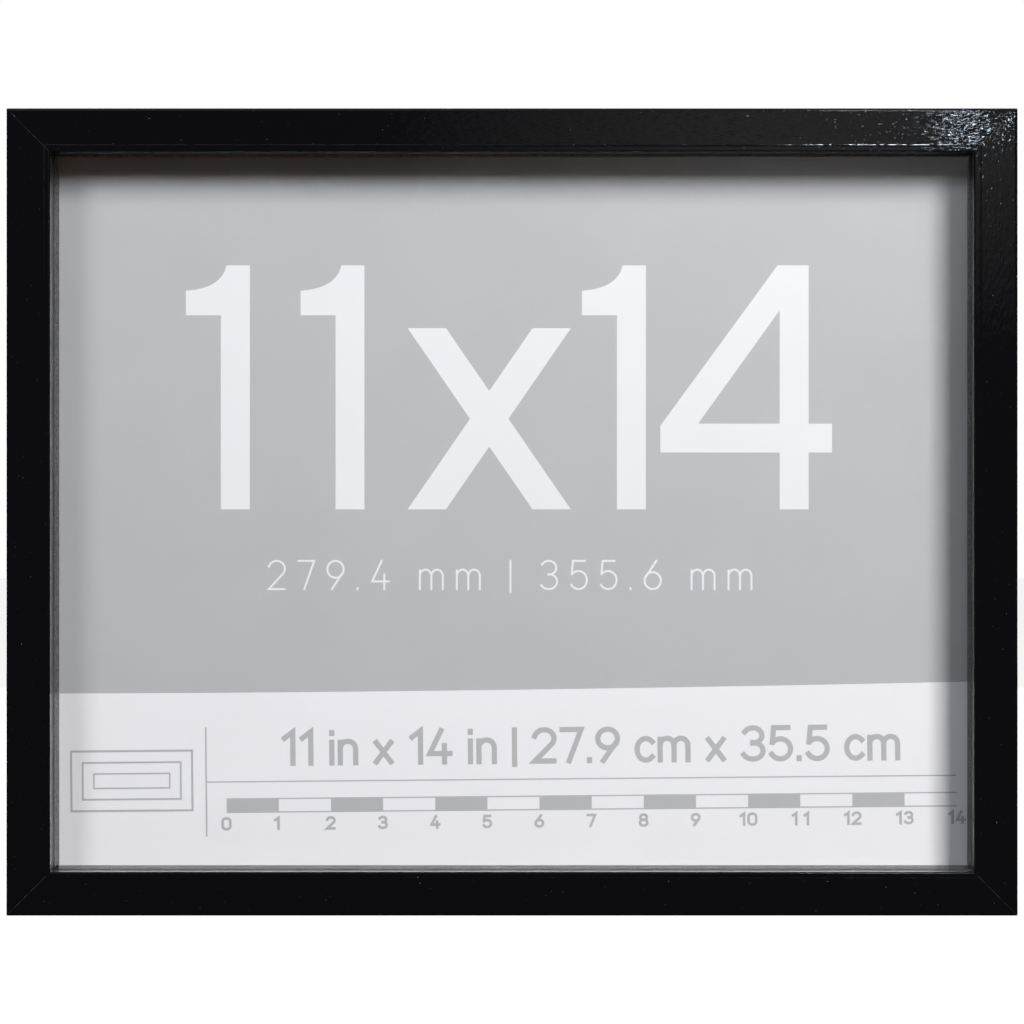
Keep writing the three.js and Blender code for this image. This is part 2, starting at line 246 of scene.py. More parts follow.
def lip_side():
    """The side of the lip that faces the opening. Lacquer wraps round its front and thins out
    to satin behind."""
    m = Material("lip_side")
    fine = m.noise(1200, 3)
    ragged = m.math("MULTIPLY", m.noise(160, 2), RAGGED)
    depth = m.math("SUBTRACT", m.add("SeparateXYZ", Vector=m.place()).outputs["Y"], FRONT_Y)
    bare = m.between(m.math("ADD", depth, ragged), OVERSPRAY, OVERSPRAY + RAGGED)
    colour = m.mix(fine, rgb(0.004, 0.004, 0.005), rgb(0.008, 0.008, 0.009))
    rough = m.math("ADD", m.between(bare, 0, 1, 0.12, 0.34), m.math("MULTIPLY", fine, 0.05))
    return m.finish(
        Base_Color=colour,
        Roughness=rough,
        Specular_IOR_Level=0.14,
        Normal=m.bump(fine, 0.006 * MM),
    )


def fibreboard():
    """Raw medium-density fibreboard, where the moulding isn't wrapped."""
    m = Material("raw_fibreboard")
    fibre = m.noise(1800, 5, roughness=0.7)
    cloud = m.noise(90, 2)
    colour = m.mix(m.between(fibre, 0.3, 0.7), rgb(0.26, 0.165, 0.09), rgb(0.44, 0.31, 0.19))
    colour = m.mix(m.between(cloud, 0.35, 0.75, 0, 0.35), colour, rgb(0.22, 0.14, 0.08))
    return m.finish(Base_Color=colour, Roughness=0.85, Normal=m.bump(fibre, 0.06 * MM))


def mitre_glue():
    """Set wood glue with lacquer rubbed into it."""
    m = Material("mitre_glue")
    patch = m.noise(700, 3)
    colour = m.mix(m.between(patch, 0.4, 0.6), rgb(0.015, 0.015, 0.015), rgb(0.09, 0.088, 0.086))
    return m.finish(Base_Color=colour, Roughness=0.6, Normal=m.bump(patch, 0.02 * MM))


def liner_paint():
    """Satin black paint on the liner strips."""
    m = Material("liner_paint")
    fine = m.noise(1400, 3)
    colour = m.mix(fine, rgb(0.010, 0.009, 0.0075), rgb(0.016, 0.0145, 0.012))
    rough = m.between(fine, 0.3, 0.7, SATIN, SATIN + 0.06)
    return m.finish(
        Base_Color=colour,
        Roughness=rough,
        Specular_IOR_Level=0.06,
        Normal=m.bump(fine, 0.006 * MM),
    )


def pane():
    """Clear float glass. Direct and scattered light goes straight through it."""
    m = Material("float_glass")
    smear = m.noise(22, 3)
    glass = m.add(
        "BsdfPrincipled",
        Base_Color=rgb(0.992, 0.996, 0.996),
        Roughness=m.between(smear, 0.4, 0.8, 0.0, 0.02),
        IOR=1.5,
        Transmission_Weight=1.0,
    )
    clear = m.add("BsdfTransparent", Color=rgb(0.945, 0.95, 0.952))
    ray = m.add("LightPath")
    plain = m.math("MAXIMUM", ray.outputs["Is Shadow Ray"], ray.outputs["Is Diffuse Ray"])
    both = m.add("MixShader")
    m.set(both.inputs[0], plain)
    m.set(both.inputs[1], glass.outputs["BSDF"])
    m.set(both.inputs[2], clear.outputs["BSDF"])
    m.set(m.out.inputs["Surface"], both.outputs["Shader"])
    return m.data


def paper(name, colour, shade, roughness):
    """Printed card: a fine tooth, and ink that is a little uneven."""
    m = Material(name)
    tooth = m.noise(2600, 3)
    cloud = m.noise(35, 2)
    mottled = m.mix(m.between(cloud, 0.3, 0.7), rgb(*colour), rgb(*shade))
    return m.finish(Base_Color=mottled, Roughness=roughness, Normal=m.bump(tooth, 0.006 * MM))


def cloth():
    """Black linen-weave cloth glued on the display board."""
    m = Material("board_cloth")
    warp = m.add("TexWave", {"bands_direction": "X"}, Vector=m.place(), Scale=260, Distortion=1.5)
    weft = m.add("TexWave", {"bands_direction": "Z"}, Vector=m.place(), Scale=260, Distortion=1.5)
    weave = m.math("MAXIMUM", warp.outputs["Fac"], weft.outputs["Fac"])
    slub = m.noise(300, 3, (1, 1, 0.1))
    colour = m.mix(slub, rgb(0.008, 0.008, 0.009), rgb(0.035, 0.035, 0.037))
    return m.finish(
        Base_Color=colour, Roughness=0.92, Sheen_Weight=0.3, Normal=m.bump(weave, 0.15 * MM)
    )


def hardboard():
    """Brown hardboard: pressed fibres, with a few dark flecks."""
    m = Material("hardboard")
    fibre = m.noise(520, 6, (1, 1, 0.55), 0.72)
    cloud = m.noise(14, 3)
    fleck = m.between(m.noise(900, 2), 0.68, 0.76)
    colour = m.mix(m.between(fibre, 0.32, 0.68), rgb(0.105, 0.055, 0.026), rgb(0.205, 0.12, 0.062))
    colour = m.mix(m.between(cloud, 0.35, 0.7, 0, 0.4), colour, rgb(0.12, 0.07, 0.038))
    colour = m.mix(m.math("MULTIPLY", fleck, 0.6), colour, rgb(0.05, 0.028, 0.014))
    rough = m.between(fibre, 0.3, 0.7, 0.5, 0.68)
    return m.finish(Base_Color=colour, Roughness=rough, Normal=m.bump(fibre, 0.03 * MM))


def metal(name, colour, worn, roughness, axis=0, metallic=1.0):
    """Plated steel with brush marks along an axis, and patches that are worn or tarnished."""
    m = Material(name)
    brush = m.noise(2200, 3, along(axis, 0.06))
    patch = m.between(m.noise(160, 4), 0.5, 0.68)
    tint = m.mix(patch, rgb(*colour), rgb(*worn))
    rough = m.between(brush, 0.3, 0.7, roughness - 0.08, roughness + 0.1)
    return m.finish(
        Base_Color=tint, Metallic=metallic, Roughness=rough, Normal=m.bump(brush, 0.008 * MM)
    )


# ---- Mesh helpers ----


def link(name, mesh):
    piece = bpy.data.objects.new(name, mesh)
    bpy.context.scene.collection.objects.link(piece)
    return piece


def solid(work, name, materials):
    """The mesh that was built in work, which is then let go."""
    mesh = bpy.data.meshes.new(name)
    work.to_mesh(mesh)
    work.free()
    for material in materials:
        mesh.materials.append(material)
    return mesh


def with_node(piece, node):
    """Lets a piece move with a node's body."""
    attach(piece, BODY_OF[node])
    return piece


WELD = 0.004 * MM  # corners closer than this are one
SLIVER = 0.001 * MM  # faces thinner than this go
FLAT_ANGLE = math.radians(0.5)  # faces that meet at less are one face
SHARP_ANGLE = math.radians(35)  # edges that turn more are eased
SMOOTH_ANGLE = math.radians(32)  # edges that turn more are shaded as edges


def eased(node, width, materials, segments=3):
    """A CAD node's shape as one welded mesh with its sharp edges eased by width, in its place."""
    work = bmesh.new()
    work.from_mesh(NODES[node].data)
    bmesh.ops.remove_doubles(work, verts=work.verts, dist=WELD)
    bmesh.ops.dissolve_limit(
        work, angle_limit=FLAT_ANGLE, verts=work.verts, edges=work.edges, delimit=set()
    )
    sharp = [
        edge for edge in work.edges
        if len(edge.link_faces) == 2 and edge.calc_face_angle() > SHARP_ANGLE
    ]
    bmesh.ops.bevel(
        work,
        geom=sharp,
        offset=width,
        segments=segments,
        profile=0.5,
        affect="EDGES",
        clamp_overlap=True,
    )
    bmesh.ops.dissolve_degenerate(work, dist=SLIVER, edges=work.edges)
    mesh = solid(work, node + "_shape", materials)
    mesh.polygons.foreach_set("use_smooth", [True] * len(mesh.polygons))
    mesh.set_sharp_from_angle(angle=SMOOTH_ANGLE)
    piece = with_node(link(node + "_finished", mesh), node)
    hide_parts(node)
    flat = piece.modifiers.new("flat_faces", "WEIGHTED_NORMAL")
    flat.keep_sharp = True
    flat.weight = 100
    return piece


# ---- The frame ----


RAW, LIP_SIDE, GLUED = 1, 2, 3  # places in a rail's list of materials, after its lacquer
LIP_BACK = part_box("glass_pane")[0][1]
RAILS = (("top_rail", 0, 2), ("bottom_rail", 0, 2), ("left_stile", 2, 0), ("right_stile", 2, 0))


def make_rails(glued):
    """Lacquer on the front and outside, and on the lip's side. The mitred ends are glued, and the
    rebate and back are raw. RAILS gives the axis a rail runs along, and the axis across it."""
    raw, side = fibreboard(), lip_side()
    middle = Vector((0, 0, HEIGHT / 2))
    for node, axis, across in RAILS:
        low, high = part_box(node)
        outwards = ((low + high) / 2 - middle) * Vector((1, 0, 1))
        outwards.normalize()
        inner = low if outwards[across] > 0 else high
        front = lacquer(node, axis, across, inner[across] + outwards[across] * RUN_IN)
        rail = eased(node, 0.16 * MM, [front, raw, side, glued], segments=2)
        for face in rail.data.polygons:
            lean = face.normal.dot(outwards)  # 1 faces outwards, and -1 faces the opening
            mitred = abs(face.normal[axis]) > 0.6 and abs(lean) > 0.45  # both are 0.7 in a mitre
            behind = face.center.y > LIP_BACK - 1 * MM
            if mitred:
                face.material_index = GLUED
            elif behind and lean < 0.5:
                face.material_index = RAW
            elif lean < -0.95:
                face.material_index = LIP_SIDE


GLUE = 0.08 * MM  # thickness of the glue in a mitre
GLUE_SUNK = 0.12 * MM  # below the front
GLUE_EDGE = 0.3 * MM  # in from the outside, the lip's side and its back
GLUE_ROUND = 1.2 * MM  # clear of the eased outer edges


def make_glue(glued):
    """Glue in the four mitres, a little below the faces, so that no light comes through them."""
    low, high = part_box("left_stile")
    sight = high.x - low.x - GLUE_EDGE
    back = LIP_BACK - FRONT_Y - GLUE_EDGE
    outline = (
        (GLUE_EDGE, GLUE_ROUND),
        (GLUE_ROUND, GLUE_SUNK),
        (sight - GLUE_ROUND, GLUE_SUNK),
        (sight, GLUE_ROUND),
        (sight, back),
        (GLUE_EDGE, back),
    )
    for number, (side, top) in enumerate(((-1, 0), (1, 0), (-1, 1), (1, 1)), 1):
        upwards = 1 - 2 * top
        work = bmesh.new()
        rings = []
        for shift in (-GLUE / 2, GLUE / 2):
            aside = shift * math.sqrt(0.5)  # the mitre runs at 45 degrees
            ring = []
            for inwards, depth in outline:
                x = side * (WIDTH / 2 - inwards) + upwards * aside
                z = top * HEIGHT + upwards * inwards + side * aside
                ring.append(work.verts.new((x, FRONT_Y + depth, z)))
            rings.append(ring)
        for ring in rings:
            work.faces.new(ring)
        for index in range(len(outline)):
            first, second = index - 1, index
            work.faces.new((rings[0][first], rings[0][second], rings[1][second], rings[1][first]))
        bmesh.ops.recalc_face_normals(work, faces=work.faces)
        name = f"mitre_glue_{number}"
        with_node(link(name, solid(work, name, [glued])), "top_rail")


def make_liner():
    paint = liner_paint()
    for side in ("top", "bottom", "left", "right"):
        eased("liner_" + side, 0.2 * MM, [paint])


# ---- The printed sheet ----

SHEET_LOW, SHEET_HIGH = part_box("printed_sheet")
SHEET_MIDDLE = (SHEET_LOW + SHEET_HIGH) / 2
SHEET_SIZE = (SHEET_HIGH - SHEET_LOW) / MM
TILT = math.radians(0.52)  # the printing is a little askew on the sheet
INK = 0.03  # thickness of a printed layer
STROKE_STEP = 0.004  # crossing strokes stand this far apart
FIELD_FOOT = -69.2  # where the grey field ends at the left, and the white band begins
FIELD_RISE = 4.6  # how far its foot curves up to the right
FIELD_BOW = 1.7  # 1 would be a straight foot
FIELD_STEPS = 24
MARGIN = 0.1  # bare edge of the sheet round the printing
CAP_HEIGHT = 92.8  # of the large numerals
CAP_FOOT = 0.8
STROKE = 11.0
SAME_POINT = 0.001


def on_sheet(curve, name, layer, material):
    """Turns flat drawn outlines into a thin closed layer on the sheet's front face."""
    curve.extrude = INK / 2
    flat = link(name + "_outline", curve)
    bpy.context.view_layer.update()
    ready = flat.evaluated_get(bpy.context.evaluated_depsgraph_get())
    work = bmesh.new()
    work.from_mesh(bpy.data.meshes.new_from_object(ready))
    bpy.data.objects.remove(flat)
    bmesh.ops.remove_doubles(work, verts=work.verts, dist=SAME_POINT)
    bmesh.ops.beautify_fill(work, faces=work.faces, edges=work.edges)
    for vert in work.verts:
        x, z, depth = vert.co
        front = SHEET_LOW.y / MM - INK * (layer - 0.5) - depth
        vert.co = Vector((SHEET_MIDDLE.x / MM + x, front, SHEET_MIDDLE.z / MM + z)) * MM
    for face in work.faces:
        face.smooth = False
    bmesh.ops.recalc_face_normals(work, faces=work.faces)
    with_node(link(name, solid(work, name, [material])), "printed_sheet")


def askew(x, z):
    return (x * math.cos(TILT) - z * math.sin(TILT), x * math.sin(TILT) + z * math.cos(TILT))


def drawn(outlines, turn=True):
    """A filled flat curve from closed outlines, askew if turn is set. An outline inside another
    is a hole."""
    curve = bpy.data.curves.new("outlines", "CURVE")
    curve.dimensions = "2D"
    curve.fill_mode = "BOTH"
    for outline in outlines:
        spline = curve.splines.new("POLY")
        spline.points.add(len(outline) - 1)
        for point, (x, z) in zip(spline.points, outline):
            place = askew(x, z) if turn else (x, z)
            point.co = (*place, 0, 1)
        spline.use_cyclic_u = True
    return curve


def box_outline(left, foot, right, top):
    return [(left, foot), (right, foot), (right, top), (left, top)]


ONE_WIDTH = 24.3
FLAG_START = 2.2  # where the flag's curve leaves the top, right of the stem's left side
FLAG_TOP = CAP_HEIGHT - 9.7
FLAG_FOOT = CAP_HEIGHT - 19.0
FLAG_BEND = (0.4, FLAG_TOP + 1.0)  # what it bends towards, right of there and above the foot
FLAG_STEPS = 8


def numeral_one(left):
    """A plain one: a stem, and a flag that leaves its top in a hollow curve."""
    right = left + ONE_WIDTH
    stem = right - STROKE
    start, bend = (stem + FLAG_START, CAP_HEIGHT), (stem + FLAG_BEND[0], FLAG_BEND[1])
    controls = (start, bend, (left, FLAG_TOP))
    curve = []
    for step in range(FLAG_STEPS + 1):
        t = step / FLAG_STEPS
        weights = ((1 - t) ** 2, 2 * t * (1 - t), t * t)
        curve.append(tuple(sum(w * p[i] for w, p in zip(weights, controls)) for i in (0, 1)))
    return [[
        (stem, 0), (right, 0), (right, CAP_HEIGHT), *curve, (left, FLAG_FOOT), (stem, FLAG_FOOT),
    ]]


def times_sign(left, right, top, arm):
    """Two crossed strokes, which are arm wide where they are cut level."""
    middle = (left + right) / 2
    notch = top * (middle - left - arm) / (right - left - arm)
    waist = arm / 2
    return [[
        (left, top), (left + arm, top), (middle, top - notch), (right - arm, top),
        (right, top), (middle + waist, top / 2), (right, 0), (right - arm, 0),
        (middle, notch), (left + arm, 0), (left, 0), (middle - waist, top / 2),
    ]]


FOUR_WIDTH = 65.3
FOUR_STEM = 45.4
BAR_FOOT = 21.6
BAR_TOP = BAR_FOOT + STROKE
CLIPPED = 0.8  # how far the diagonal's ends are cut off
COUNTER_LEFT = 14.4
COUNTER_TOP = CAP_HEIGHT - 17.1


def numeral_four(left):
    """A plain four: a stem, a crossbar, and a diagonal, round a three-cornered counter."""
    stem = left + FOUR_STEM
    stem_right = stem + STROKE
    right = left + FOUR_WIDTH
    outline = [
        (stem, 0), (stem_right, 0), (stem_right, BAR_FOOT), (right, BAR_FOOT),
        (right, BAR_TOP), (stem_right, BAR_TOP), (stem_right, CAP_HEIGHT),
        (stem - CLIPPED, CAP_HEIGHT), (left, BAR_TOP - CLIPPED), (left, BAR_FOOT), (stem, BAR_FOOT),
    ]
    counter = [(stem, COUNTER_TOP), (stem, BAR_TOP), (left + COUNTER_LEFT, BAR_TOP)]
    return [outline, counter]


# Plain stroke figures whose cap height is 1, each as its width and its strokes. A stroke is a list
# of points and arcs: an arc is (centre x, centre y, radius x, radius y, first angle, last angle).
# A stroke that starts with "loop" is closed.
FIGURES = {
    "0": (0.56, [["loop", (0.28, 0.72, 0.28, 0.28, 0, 180), (0.28, 0.28, 0.28, 0.28, 180, 360)]]),
    "1": (0.30, [[(0.04, 0.80), (0.27, 1.0), (0.27, 0.0)]]),
    "2": (0.56, [[(0.28, 0.72, 0.27, 0.28, 165, -38), (0.02, 0.0), (0.54, 0.0)]]),
    "3": (0.56, [
        [(0.27, 0.755, 0.25, 0.245, 152, -90)],
        [(0.27, 0.265, 0.28, 0.265, 90, -152)],
    ]),
    "4": (0.60, [[(0.34, 1.0), (0.03, 0.27), (0.58, 0.27)], [(0.43, 0.52), (0.43, 0.0)]]),
    "5": (0.56, [[(0.48, 1.0), (0.09, 1.0), (0.05, 0.53)], [(0.27, 0.32, 0.28, 0.32, 132, -148)]]),
    "6": (0.56, [["loop", (0.28, 0.30, 0.27, 0.30, 0, 360)], [(0.40, 1.0), (0.07, 0.46)]]),
    "7": (0.54, [[(0.02, 1.0), (0.54, 1.0), (0.21, 0.0)]]),
    "8": (0.56, [
        ["loop", (0.28, 0.755, 0.235, 0.245, 0, 360)],
        ["loop", (0.28, 0.265, 0.275, 0.265, 0, 360)],
    ]),
    "9": (0.56, [["loop", (0.28, 0.70, 0.27, 0.30, 0, 360)], [(0.16, 0.0), (0.49, 0.54)]]),
    ".": (0.06, [[(0.03, 0.0), (0.03, 0.03)]]),
    "|": (0.02, [[(0.01, -0.10), (0.01, 1.0)]]),
    "×": (0.44, [[(0.02, 0.02), (0.42, 0.64)], [(0.02, 0.64), (0.42, 0.02)]]),
    "i": (0.04, [[(0.02, 0.0), (0.02, 0.66)], [(0.02, 0.94), (0.02, 0.97)]]),
    "n": (0.46, [[(0.02, 0.0), (0.02, 0.66)], [(0.23, 0.44, 0.21, 0.25, 172, 0), (0.44, 0.0)]]),
    "c": (0.42, [[(0.24, 0.345, 0.24, 0.345, 44, 316)]]),
    "m": (0.80, [
        [(0.02, 0.0), (0.02, 0.66)],
        [(0.21, 0.46, 0.19, 0.23, 172, 0), (0.40, 0.0)],
        [(0.59, 0.46, 0.19, 0.23, 172, 0), (0.78, 0.0)],
    ]),
    " ": (0.14, []),
}
ARC_STEP = 15  # degrees
NEAR_POINT = 0.01  # points closer than this are one
LEAST_LEAN = 0.35  # keeps the mitre of a sharp corner short


def stroke_points(stroke):
    """The points of a stroke, with its arcs worked out."""
    points = []
    for item in stroke:
        if item == "loop":
            continue
        if len(item) == 2:
            points.append(Vector(item))
            continue
        x, y, wide, tall, first, last = item
        steps = max(2, round(abs(last - first) / ARC_STEP))
        for i in range(steps + 1):
            turn = math.radians(first + (last - first) * i / steps)
            points.append(Vector((x + wide * math.cos(turn), y + tall * math.sin(turn))))
    kept = [points[0]]
    for point in points[1:]:
        if (point - kept[-1]).length > NEAR_POINT:
            kept.append(point)
    if stroke[0] == "loop" and (kept[-1] - kept[0]).length < NEAR_POINT:
        kept.pop()
    return kept


def ribbon(points, half, closed):
    """The two edges of an even band along points, mitred at its corners. half is half its width,
    and an open band runs on by that much at each end."""
    edges = ([], [])
    count = len(points)
    if not closed:
        first = points[0] + (points[0] - points[1]).normalized() * half
        last = points[-1] + (points[-1] - points[-2]).normalized() * half
        points = [first, *points[1:-1], last]
    for i, point in enumerate(points):
        before = points[i - 1] if closed or i > 0 else None
        after = points[(i + 1) % count] if closed or i < count - 1 else None
        sides = [(b - a).normalized() for a, b in ((before, point), (point, after)) if a and b]
        normals = [Vector((-side.y, side.x)) for side in sides]
        lean = sum(normals, Vector((0, 0))).normalized()
        reach = half / max(LEAST_LEAN, lean.dot(normals[0]))
        edges[0].append(point + lean * reach)
        edges[1].append(point - lean * reach)
    return edges


def sheet_place(x, z, proud, turn):
    """A place on the printed face, proud of the sheet, and askew if turn is set. All in mm."""
    if turn:
        x, z = askew(x, z)
    return Vector((SHEET_MIDDLE.x + x * MM, SHEET_LOW.y - proud * MM, SHEET_MIDDLE.z + z * MM))


def add_band(work, edges, closed, proud, turn):
    """A thin closed solid between two edges. One that closes on itself is a ring."""
    rows = [
        [work.verts.new(sheet_place(p.x, p.y, depth, turn)) for p in edge]
        for edge, depth in ((edges[0], proud), (edges[1], proud), (edges[1], INK), (edges[0], INK))
    ]
    count = len(rows[0])
    for i in range(count if closed else count - 1):
        j = (i + 1) % count
        for row, following in zip(rows, rows[1:] + rows[:1]):
            work.faces.new((row[i], row[j], following[j], following[i]))
    if not closed:
        work.faces.new([row[0] for row in rows])
        work.faces.new([row[-1] for row in reversed(rows)])


def print_figures(name, text, left, foot, width, height, stroke, material, turn=True):
    """A line of figures that fills width by its spacing, in mm. stroke is the width of a line."""
    natural = sum(FIGURES[letter][0] for letter in text) * height
    space = (width - natural) / max(1, len(text) - 1)
    cap = height - stroke
    work = bmesh.new()
    x = left
    for letter in text:
        wide, strokes = FIGURES[letter]
        for index, drawn_stroke in enumerate(strokes):
            closed = drawn_stroke[0] == "loop"
            points = [
                Vector((x + p.x * height, foot + stroke / 2 + p.y * cap))
                for p in stroke_points(drawn_stroke)
            ]
            proud = 2 * INK + index * STROKE_STEP
            add_band(work, ribbon(points, stroke / 2, closed), closed, proud, turn)
        x += wide * height + space
    bmesh.ops.recalc_face_normals(work, faces=work.faces)
    with_node(link(name, solid(work, name, [material])), "printed_sheet")


# The layout of the sheet: the left of a numeral, the left, foot, width, height and stroke of a line
# of figures, and the left, foot, right and top of a box.
FIRST_ONE, SECOND_ONE, THIRD_ONE, FOUR = -124.5, -80.9, 26.1, 55.9
TIMES = {"left": -40.2, "right": 21.9, "top": 68.9, "arm": 14.6}
METRIC_LINE = (-93.2, -29.9, 184.0, 11.5, 0.75)
SIZE_LINE = (-88.4, -96.0, 234.0, 13.9, 2.0)
RULES = ((-118.0, -122.6, -117.4, -81.0), (-117.4, -102.1, 167.4, -101.6))
PICTOGRAM = (-169.4, -112.9, -122.6, -89.4)
PICTOGRAM_INSETS = (0.0, 0.8, 4.4, 5.1, 8.7, 9.3)  # by turns the outside and inside of a line


def make_print():
    """The card, the grey field, the figures on it, and the white band's lines below."""
    white = paper("white_ink", (0.83, 0.83, 0.855), (0.82, 0.82, 0.845), 0.5)
    field = paper("grey_field", (0.475, 0.478, 0.495), (0.465, 0.468, 0.485), 0.5)
    grey = paper("grey_ink", (0.47, 0.472, 0.485), (0.455, 0.457, 0.47), 0.5)
    stock = paper("card_stock", (0.873, 0.866, 0.901), (0.858, 0.851, 0.886), 0.55)
    eased("printed_sheet", 0.04 * MM, [stock], segments=1)

    half_width = SHEET_SIZE.x / 2 - MARGIN
    half_height = SHEET_SIZE.z / 2 - MARGIN
    foot = []
    for step in range(FIELD_STEPS + 1):
        t = step / FIELD_STEPS
        foot.append((half_width * (2 * t - 1), FIELD_FOOT + FIELD_RISE * t ** FIELD_BOW))
    corners = [*foot, (half_width, half_height), (-half_width, half_height)]
    on_sheet(drawn([corners], turn=False), "print_field", 1, field)

    figures = {
        "print_one_a": numeral_one(FIRST_ONE),
        "print_one_b": numeral_one(SECOND_ONE),
        "print_times": times_sign(**TIMES),
        "print_one_c": numeral_one(THIRD_ONE),
        "print_four": numeral_four(FOUR),
    }
    for name, outlines in figures.items():
        raised = [[(x, z + CAP_FOOT) for x, z in outline] for outline in outlines]
        on_sheet(drawn(raised, turn=False), name, 2, white)
    text = "279.4 mm | 355.6 mm"
    print_figures("print_metric_line", text, *METRIC_LINE, white, turn=False)
    text = "11 in × 14 in | 27.9 cm × 35.5 cm"
    print_figures("print_size_line", text, *SIZE_LINE, grey)

    on_sheet(drawn([box_outline(*rule) for rule in RULES]), "print_rules", 2, grey)
    make_scale(grey)
    left, foot, right, top = PICTOGRAM
    nested = [
        box_outline(left + inset, foot + inset, right - inset, top - inset)
        for inset in PICTOGRAM_INSETS
    ]
    on_sheet(drawn(nested), "print_pictogram", 2, grey)


SCALE_BOX = (-110.0, -113.2, 167.6, -108.6)  # left, foot, right and top
SCALE_DIVISIONS = 14
SCALE_LINE = 0.5  # thickness of its long lines
BLOCK_GAP = 0.02  # between a block and those lines
NUMBER_DROP = 7.2  # from the scale's foot to the foot of its numbers
NUMBER_HEIGHT = 5.2
NUMBER_STROKE = 1.0
NUMBER_WIDTHS = (3.2, 6.0)  # of one figure and of two


def make_scale(ink):
    """A numbered scale, its blocks filled by turns."""
    left, foot, right, top = SCALE_BOX
    step = (right - left) / SCALE_DIVISIONS
    blocks = [
        box_outline(left, foot - SCALE_LINE, right, foot),
        box_outline(left, top, right, top + SCALE_LINE),
    ]
    for i in range(SCALE_DIVISIONS + 1):
        x = left + i * step
        if i % 2 == 0 and i < SCALE_DIVISIONS:
            blocks.append(box_outline(x, foot + BLOCK_GAP, x + step, top - BLOCK_GAP))
        text = str(i)
        width = NUMBER_WIDTHS[len(text) - 1]
        line = (x - width / 2, foot - NUMBER_DROP, width, NUMBER_HEIGHT, NUMBER_STROKE)
        print_figures(f"print_scale_{i}", text, *line, ink)
    on_sheet(drawn(blocks), "print_scale", 2, ink)


# ---- What closes the back ----


def make_back():
    eased("display_board", 0.15 * MM, [cloth()])
    eased("backing_panel", 0.3 * MM, [hardboard()])


BRASS = ((0.80, 0.62, 0.27), (0.68, 0.50, 0.21))  # bright, and worn


def make_hardware():
    black = metal("black_oxide", (0.03, 0.03, 0.033), (0.085, 0.08, 0.075), 0.4, 0, 0.85)
    zinc = metal("zinc_plate", (0.62, 0.63, 0.65), (0.50, 0.50, 0.50), 0.3)
    plain = metal("plain_steel", (0.46, 0.46, 0.48), (0.30, 0.27, 0.25), 0.4)
    brass = {
        "landscape": metal("brass_plate_x", *BRASS, 0.36, 0),
        "portrait": metal("brass_plate_z", *BRASS, 0.36, 2),
    }
    for node in sorted(NODES):
        if node.startswith("turn_button"):
            eased(node, 0.22 * MM, [black])
        elif node.startswith("button_screw"):
            eased(node, 0.09 * MM, [zinc])
        elif node.startswith("v_nail"):
            eased(node, 0.05 * MM, [plain], segments=1)
        elif node.startswith(("landscape_hanger", "portrait_hanger")):
            eased(node, 0.1 * MM, [brass[node.split("_")[0]]])


# ---- Floor, background and lights ----


FLOOR_GLOW = 0.89
FLOOR_SIZE = 6.0


def make_stage():
    """A pale floor that only the camera sees."""
    m = Material("floor")
    grain = m.noise(40, 3)
    colour = m.mix(grain, rgb(0.17, 0.17, 0.17), rgb(0.19, 0.19, 0.19))
    data = m.finish(
        Base_Color=colour, Roughness=0.9, Emission_Color=rgb(1, 1, 1), Emission_Strength=FLOOR_GLOW
    )
    work = bmesh.new()
    bmesh.ops.create_grid(work, x_segments=4, y_segments=4, size=FLOOR_SIZE)
    floor = link("floor", solid(work, "floor", [data]))
    floor.visible_glossy = False
    floor.visible_diffuse = False
    floor.visible_transmission = False


ROOM = 0.035  # radiance of the room round the object


def make_world():
    """White behind the object. What the object itself sees of the room is dim."""
    world = bpy.data.worlds.new("studio")
    bpy.context.scene.world = world
    world.use_nodes = True
    tree = world.node_tree
    tree.nodes.clear()
    ray = tree.nodes.new("ShaderNodeLightPath")
    seen = tree.nodes.new("ShaderNodeBackground")
    seen.inputs["Color"].default_value = rgb(1, 1, 1)
    room = tree.nodes.new("ShaderNodeBackground")
    room.inputs["Color"].default_value = rgb(0.9, 0.95, 1.0)
    room.inputs["Strength"].default_value = ROOM
    mix = tree.nodes.new("ShaderNodeMixShader")
    out = tree.nodes.new("ShaderNodeOutputWorld")
    tree.links.new(ray.outputs["Is Camera Ray"], mix.inputs[0])
    tree.links.new(room.outputs[0], mix.inputs[1])
    tree.links.new(seen.outputs[0], mix.inputs[2])
    tree.links.new(mix.outputs[0], out.inputs["Surface"])


def softbox(name, place, width, height, watts, colour=(1, 1, 1), turn=0, mirrored=True):
    """An upright panel that faces along +Y, or turned from there about the vertical by turn
    degrees. Gloss mirrors it only if mirrored is set."""
    data = bpy.data.lights.new(name, "AREA")
    data.shape = "RECTANGLE"
    data.size = width
    data.size_y = height
    data.energy = watts
    data.color = colour
    lamp = bpy.data.objects.new(name, data)
    bpy.context.scene.collection.objects.link(lamp)
    lamp.location = place
    lamp.rotation_euler = (math.pi / 2, 0, math.radians(turn))
    lamp.visible_glossy = mirrored
    return lamp


def watts_for(radiance, width, height):
    """What a panel of that radiance, in W/sr/m2, takes."""
    return radiance * math.pi * width * height


